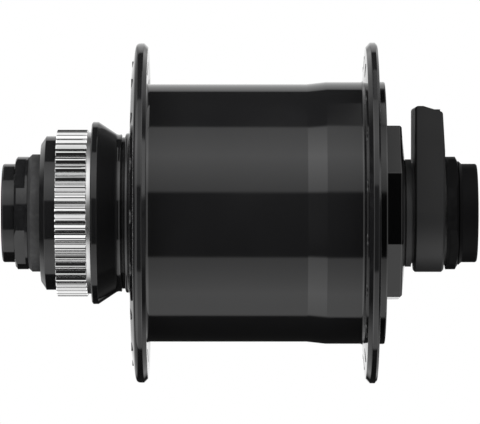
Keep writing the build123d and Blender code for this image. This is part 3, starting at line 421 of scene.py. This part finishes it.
# The shell: one turned body with a flange each side, lines in (x, r, edge radius). A flange's
# faces are (radii, x there), its band of holes lies between low and high. Its columns of
# points are turned by twist, (x, degrees there), to meet those of the bands. A hole's wall is
# (over the bore's radius, depth), from the face's edge down.
shellPlan = dict(
    inside=[
        (28.9, 28.75), (28.9, 25.3, 0.1), (28.8, 25.2), (-17, 25.2), (-17, 23.9), (-20, 23.9),
        (-20, 11.9), (-31, 11.9), (-31, 13), (-36, 13), (-36, 13.7), (-37.05, 13.7), (-37.05, 13),
        (-38.9, 13), (-38.9, 14.5), (-41.8, 14.5, 0.1), (-41.8, 14.7, 0.12), (-40.75, 16.25, 0.15),
        (-38.5, 16.25), (-38.3, 15.8), (-31.1, 15.8), (-31.1, 19.0, 0.15), (-30.85, 19.25, 0.15),
        (-29.75, 19.25, 0.25), (-25.65, 16.52, 1.2), (-24.84, 16.66, 0.2), (-24.65, 15.9, 0.1),
        (-24.47, 16.1, 0.08), (-24.3, 15.95, 0.1), (-23.97, 16.8, 0.35), (-23.42, 16.9, 0.3),
        (-23.25, 17.75, 0.1), (-23.18, 17.95, 0.1), (-22.72226, 28.3)],
    leftRim=[
        (-22.144, 33.6), (-21.75, 35.85, 1.0), (-20.1, 35.85, 0.25), (-19.25, 35.0, 0.2),
        (-19.34, 33.6)],
    barrel=[
        (-19.679, 28.3), (-19.75, 27.2, 0.9), (14.1, 27.2, 0.25), (18.1, 27.65, 0.25),
        (25.9, 27.65, 0.6), (25.99, 28.75)],
    rightRim=[
        (26.443, 34.3), (26.5, 35.0, 0.15), (27.4, 36.0, 0.4), (28.45, 36.0, 0.15),
        (28.9, 35.55, 0.15), (28.9, 34.3)],
    twist=dict(
        inside=((-17.0, 28.0), (1.5, 2.0)), leftRim=((0.0,), (1.5,)),
        barrel=((-19.0, 25.0), (1.5, 2.0)), rightRim=((0.0,), (2.0,))),
    leftFlange=dict(
        leftFace=((17.75, 31.0, 35.85), (-23.2, -22.6, -21.75)),
        rightFace=((28.3, 35.0), (-19.679, -19.25)), low=28.3, high=33.6, circle=31.0, turn=1.5),
    rightFlange=dict(
        leftFace=((27.65, 35.0), (25.9, 26.5)),
        rightFace=((27.0, 36.0), (28.9, 28.9)), low=28.75, high=34.3, circle=31.65, turn=10.0),
    holes=18, holeRadius=1.3, holeWall=[(0.2, 0.0), (0.16, 0.05), (0.04, 0.18), (0.0, 0.27)],
    shares=(1.0, 0.7, 0.42, 0.2, 0.07, 0.0), steps=180, bandSteps=8,
)


def holedFlange(flange, plan):
    # One flange's band with its holes: a sector for each hole, a sleeve of rings from the
    # band's border on the left face, P = (1-s) edge + s border, down the wall and bore, and out
    # to the border of the right face.
    low, high, circle = flange["low"], flange["high"], flange["circle"]
    half = 180 / plan["holes"]
    sector, rise = plan["steps"] // plan["holes"], plan["bandSteps"]
    across, up = np.linspace(-half, half, sector + 1), np.linspace(low, high, rise + 1)
    r = np.concatenate((np.full(sector, low), up[:-1], np.full(sector, high), up[:0:-1]))
    a = np.concatenate((across[:-1], np.full(rise, half), across[:0:-1], np.full(rise, -half)))
    border = np.stack((r * np.cos(np.radians(a)), r * np.sin(np.radians(a))), -1)
    middle = np.array((circle, 0.0))
    way = border - middle
    way = way / np.linalg.norm(way, axis=1)[:, None]
    hole = plan["holeRadius"]
    edge = hole + plan["holeWall"][0][0]
    rings = []
    for face, inwards in ((flange["leftFace"], 1.0), (flange["rightFace"], -1.0)):
        side = []
        for share in plan["shares"]:
            flat = middle + edge * way + share * (border - middle - edge * way)
            side.append((flat, np.interp(np.hypot(*flat.T), *face)))
        faceX = np.interp(circle, *face)
        for over, depth in plan["holeWall"][1:]:
            flat = middle + (hole + over) * way
            side.append((flat, np.full(len(flat), faceX + inwards * depth)))
        rings.append([np.column_stack((x, flat)) for flat, x in side])
    sleeve = np.array(rings[0] + rings[1][::-1])
    x, y, z = sleeve[..., 0], sleeve[..., 1], sleeve[..., 2]
    turns = np.radians(flange["turn"] + 2 * half * np.arange(plan["holes"]))
    sectors = [(x, y * np.cos(t) - z * np.sin(t), y * np.sin(t) + z * np.cos(t)) for t in turns]
    return [(np.stack(points, -1), False) for points in sectors]


def makeShell(plan):
    around = np.arange(plan["steps"]) * 360 / plan["steps"]
    patches = []
    for part, twist in plan["twist"].items():
        line = roundedLine(plan[part])
        patches.append((turnedRings(line, around, np.interp(line[:, 0], *twist)), False))
    for side in ("leftFlange", "rightFlange"):
        patches += holedFlange(plan[side], plan)
    return patches


# The rotor's splines: a toothed ring of bare metal round the shell's left end. A tooth is
# half its line, (round the ring, r, edge radius). The ends' cuts are (from the end, over the
# tip), the bore's (from the end, over the inside).
splinePlan = dict(
    teeth=50, left=-38.5, right=-31.98, inside=15.7, tip=17.6,
    tooth=[(0.0, 16.3), (0.26, 16.3, 0.1), (0.36, 17.1, 0.08), (0.88, 17.53, 0.12), (1.105, 17.6)],
    leftCuts=[(0.0, -0.21), (0.06, -0.13), (0.11, -0.03), (0.22, 1.0)],
    rightCuts=[(-0.22, 1.0), (-0.11, -0.03), (-0.05, -0.14), (-0.02, -0.21)],
    rightBore=[(-0.01, 0.3), (-0.05, 0.0)], leftBore=[(0.02, 0.0), (0.0, 0.1)],
)


def makeSplines(plan):
    # Round the ring the radius follows one tooth's half line, mirrored and repeated; along the
    # axle it is cut off at the ends: r = min(tooth(a), cut(x)).
    half = roundedLine(plan["tooth"], arcSteps=3)
    pitch = 2 * half[-1, 0]
    along = np.concatenate((half[:, 0], pitch - half[-2:0:-1, 0])) / pitch
    height = np.concatenate((half[:, 1], half[-2:0:-1, 1]))
    count = plan["teeth"]
    a = np.radians(((np.arange(count)[:, None] + along) * 360 / count).ravel())
    tooth = np.tile(height, count)
    left, right, tip, inside = plan["left"], plan["right"], plan["tip"], plan["inside"]
    cuts = [(left + x, tip + over) for x, over in plan["leftCuts"]]
    cuts += [(right + x, tip + over) for x, over in plan["rightCuts"]]
    bore = [(right + x, inside + over) for x, over in plan["rightBore"]]
    bore += [(left + x, inside + over) for x, over in plan["leftBore"]]
    rings = [(x, np.minimum(tooth, cut)) for x, cut in cuts]
    rings += [(x, np.full(len(a), r)) for x, r in bore]
    grid = [np.stack((np.full(len(a), x), r * np.cos(a), r * np.sin(a)), -1) for x, r in rings]
    return [(np.array(grid), True)]


# The bare collar beside the splines, its section in (x, r, edge radius)
collarPlan = dict(
    line=[(-32.0, 15.75), (-32.0, 17.05, 0.05), (-31.12, 17.05, 0.08), (-31.12, 15.75)], steps=180,
)


def makeCollar(plan):
    around = np.arange(plan["steps"]) * 360 / plan["steps"]
    return [(turnedRings(roundedLine(plan["line"], closed=True), around), True)]


# The lid: a disc with a spigot and an eight-sided boss, its section in (x, r, edge radius).
# The boss lies beyond x = bossFrom and within r = bossWithin.
lidPlan = dict(
    line=[
        (25.5, 15.0), (25.5, 17.6), (27.9, 17.6), (27.9, 22.6), (21.5, 22.6), (21.5, 25.17, 0.2),
        (25.3, 25.17), (25.3, 23.76), (26.9, 23.76), (26.9, 25.17), (28.9, 25.17),
        (28.9, 27.7, 0.2), (30.27, 27.7, 0.05), (30.5, 27.62, 0.06), (30.5, 18.0, 0.3),
        (33.65, 18.0, 0.3), (34.0, 17.65, 0.3), (34.6, 12.6, 0.12), (32.9, 12.6), (32.9, 15.0)],
    sides=8, turn=177.0, flat=18.0, corner=0.45, flatPoints=14, cornerSteps=4,
    bossFrom=30.45, bossWithin=20.0, roundBelow=13.2, squareAbove=16.0,
)


def makeLid(plan):
    # Round the axle the radius is r (1 + k (o(a) - 1)), with k from 0 for round to 1 for the
    # boss. o(a) is 1 / cos(b) on a flat, b from its middle, and the corner's arc between flats,
    # (c cos g + sqrt(e^2 - c^2 sin^2 g)) / flat, with e the arc's radius, c the distance of its
    # centre and g the angle from the corner.
    half, flat, corner = math.pi / plan["sides"], plan["flat"], plan["corner"]
    meet = math.atan((flat - corner) * math.tan(half) / flat)
    intoCorner = np.linspace(meet, half, plan["cornerSteps"] + 1)[1:]
    overFlat = np.linspace(-meet, meet, plan["flatPoints"])
    b = np.concatenate((-intoCorner[::-1], overFlat, intoCorner[:-1]))
    c, g = (flat - corner) / math.cos(half), half - np.abs(b)
    arc = (c * np.cos(g) + np.sqrt(np.maximum(corner ** 2 - (c * np.sin(g)) ** 2, 0))) / flat
    onFlat = np.abs(b) < meet - 1e-9
    outline = np.tile(np.where(onFlat, 1 / np.cos(b), arc), plan["sides"])
    a = math.radians(plan["turn"]) + (np.arange(plan["sides"])[:, None] * 2 * half + b).ravel()
    line = roundedLine(plan["line"], closed=True)
    x, r = line[:, :1], line[:, 1:]
    k = np.clip((r - plan["roundBelow"]) / (plan["squareAbove"] - plan["roundBelow"]), 0, 1)
    k = k * (x > plan["bossFrom"]) * (r < plan["bossWithin"])
    r = r * (1 + k * (outline - 1))
    return [(np.stack((x + 0 * a, r * np.cos(a), r * np.sin(a)), -1), True)]


print("new surfaces")
ofShell = ("hub_body", "hub_shell", "black_anodised_shell")
makePiece("lidWithBoss", makeLid(lidPlan), "lid_black", "hub_body", "hub_lid", "black_anodised")
makePiece("turnedShell", makeShell(shellPlan), "black_anodised_shell", *ofShell)
makePiece("rotorSplines", makeSplines(splinePlan), "bare_splines", *ofShell, sharp=25.0)
makePiece("rotorCollar", makeCollar(collarPlan), "bare_collar", *ofShell)

# Studio, as seen in the hub's mirror: a softbox above the front, one below it, a panel high on
# the right, a white backdrop behind and a dark room. Each stop is (place, brightness), the
# place in degrees round the axle, 0 towards the camera and 90 up, or as a share from the
# middle to the side. Four numbers are a range and the shares of brightness at its ends.
studio = dict(
    aroundAxle=[
        (-180, 0.0), (-105.5, 0.0), (-103.5, 0.84), (-76, 1.15), (-40.8, 0.69), (-38.8, 0.0),
        (17.4, 0.0), (19.4, 0.71), (52, 1.3), (81.6, 0.81), (83.6, 0.0), (180, 0.0)],
    alongAxle=[
        (0.0, 0.55), (0.1, 0.6), (0.2, 0.92), (0.31, 0.95), (0.57, 1.0), (0.78, 0.5),
        (0.93, 0.1), (1.0, 0.05)],
    sideCards=[(0.0, 0.0), (0.2, 0.0), (0.32, 1.0), (0.7, 0.9), (0.85, 0.0), (1.0, 0.0)],
    cardsInDepth=(0.1, -0.1, 0.6, 1.0),
    panelLow=83.0, panelHigh=113.0, panelBlur=1.0, panelFrom=(0.0298, 0.0306), panelShine=1.2,
    backdropLow=-0.13, backdropHigh=0.65, backdropBlur=0.02, backdropDepth=(0.6, 0.85),
    backdropSideways=(0.06, 0.3, 1.0, 0.25), backdropUpwards=(0.0, 1.0, 1.0, 0.36),
    peak=1.3, strength=1.82, room=0.02, ambient=0.35,
)


def shadeBy(tree, source, stops, low, high, top=1.0):
    # Brightness, as a share of top, by where source lies between low and high, straight
    # between the stops
    share = mapRange(tree, source, low, high, smooth=False)
    ramp = addNode(tree, "ShaderNodeValToRGB")
    points = ramp.color_ramp.elements
    for stop in stops[1:-1]:
        points.new((stop[0] - low) / (high - low))
    for point, (place, value) in zip(points, stops):
        point.position = (place - low) / (high - low)
        point.color = (value / top, value / top, value / top, 1)
    tree.links.new(share, ramp.inputs["Fac"])
    return ramp.outputs["Color"]


world = bpy.data.worlds.new("studio")
scene.world = world
world.use_nodes = True
tree = world.node_tree
link = tree.links.new
background = tree.nodes["Background"]
split = addNode(tree, "ShaderNodeSeparateXYZ")
link(addNode(tree, "ShaderNodeTexCoord").outputs["Generated"], split.inputs[0])
wayX, wayY, wayZ = (split.outputs[axis] for axis in "XYZ")
turn = maths(tree, "ARCTAN2", wayZ, maths(tree, "MULTIPLY", wayY, -1.0))
degrees = maths(tree, "MULTIPLY", turn, 180 / math.pi)
sideways = maths(tree, "ABSOLUTE", wayX, 0.0)

# The softboxes, the panel and the side cards
peak = studio["peak"]
around = shadeBy(tree, degrees, studio["aroundAxle"], -180, 180, peak)
along = shadeBy(tree, sideways, studio["alongAxle"], 0.0, 1.0)
strips = maths(tree, "MULTIPLY", around, along)
strips = maths(tree, "MULTIPLY", strips, peak * studio["strength"])
low, high, blur = studio["panelLow"], studio["panelHigh"], studio["panelBlur"]
panel = maths(tree, "MULTIPLY", mapRange(tree, degrees, low, low + blur),
              mapRange(tree, degrees, high, high - blur))
panel = maths(tree, "MULTIPLY", panel, mapRange(tree, wayX, *studio["panelFrom"]))
strips = maths(tree, "ADD", strips, maths(tree, "MULTIPLY", panel, studio["panelShine"]))
cards = shadeBy(tree, sideways, studio["sideCards"], 0.0, 1.0)
cards = maths(tree, "MULTIPLY", cards, mapRange(tree, wayY, *studio["cardsInDepth"]))
strips = maths(tree, "MAXIMUM", strips, cards)

# The backdrop, seen by glossy rays alone
low, high, blur = studio["backdropLow"], studio["backdropHigh"], studio["backdropBlur"]
above = mapRange(tree, wayZ, low - blur, low + blur)
below = mapRange(tree, wayZ, high + blur, high - blur)
behind = mapRange(tree, wayY, *studio["backdropDepth"])
middle = mapRange(tree, sideways, *studio["backdropSideways"])
fade = mapRange(tree, wayZ, *studio["backdropUpwards"], smooth=False)
upright = maths(tree, "MULTIPLY", above, maths(tree, "MULTIPLY", below, fade))
backdrop = maths(tree, "MULTIPLY", upright, maths(tree, "MULTIPLY", behind, middle))

# Glossy rays see the studio, the others its softer light, and the camera white
glossyLevel = maths(tree, "ADD", maths(tree, "ADD", strips, backdrop), studio["room"])
softLevel = maths(tree, "ADD", strips, studio["ambient"])
rays = addNode(tree, "ShaderNodeLightPath").outputs
level = addNode(tree, "ShaderNodeMix", data_type="FLOAT")
link(rays["Is Glossy Ray"], level.inputs["Factor"])
link(softLevel, level.inputs["A"])
link(glossyLevel, level.inputs["B"])
final = addNode(tree, "ShaderNodeMix", {"B": 1.0}, data_type="FLOAT")
link(rays["Is Camera Ray"], final.inputs["Factor"])
link(level.outputs[0], final.inputs["A"])
link(final.outputs[0], background.inputs["Strength"])
background.inputs["Color"].default_value = (1, 1, 1, 1)

# A pale floor far below, white to the camera
floorPlan = dict(level=-2.5, half=6.0, colour=(0.8, 0.8, 0.8), roughness=0.9)
half = floorPlan["half"]
ends = ((-half, -half), (half, -half), (half, half), (-half, half))
floorMesh = bpy.data.meshes.new("floor")
floorMesh.from_pydata([(x, y, floorPlan["level"]) for x, y in ends], [], [(0, 1, 2, 3)])
floor = bpy.data.objects.new("floor", floorMesh)
scene.collection.objects.link(floor)
floor.visible_glossy = floor.visible_diffuse = False  # the hub sees the studio instead
paleFloor, tree, shader = startMaterial("paleFloor")
link = tree.links.new
shader.inputs["Base Color"].default_value = (*floorPlan["colour"], 1)
shader.inputs["Roughness"].default_value = floorPlan["roughness"]
white = addNode(tree, "ShaderNodeEmission", {"Strength": 1.0})
seen = addNode(tree, "ShaderNodeMixShader")
link(addNode(tree, "ShaderNodeLightPath").outputs["Is Camera Ray"], seen.inputs[0])
link(shader.outputs[0], seen.inputs[1])
link(white.outputs[0], seen.inputs[2])
link(seen.outputs[0], tree.nodes["Material Output"].inputs["Surface"])
floorMesh.materials.append(paleFloor)
print("studio lit")

# The camera looks along +Y at the axle's height from about a metre, as in the photograph
view = dict(
    distance=1.0, right=0.06 * mm, up=0.21 * mm, pixelsPerMetre=4733.0, imageWidth=480,
    sensor=36.0, near=0.01, far=20.0,
)
camera = bpy.data.objects.new("camera", bpy.data.cameras.new("camera"))
scene.collection.objects.link(camera)
camera.location = (view["right"], -view["distance"], view["up"])
camera.rotation_euler = (math.pi / 2, 0, 0)
camera.data.sensor_width = view["sensor"]
camera.data.lens = view["pixelsPerMetre"] * view["distance"] / view["imageWidth"] * view["sensor"]
camera.data.clip_start, camera.data.clip_end = view["near"], view["far"]
scene.camera = camera
scene.view_settings.view_transform = "Standard"

print("done")
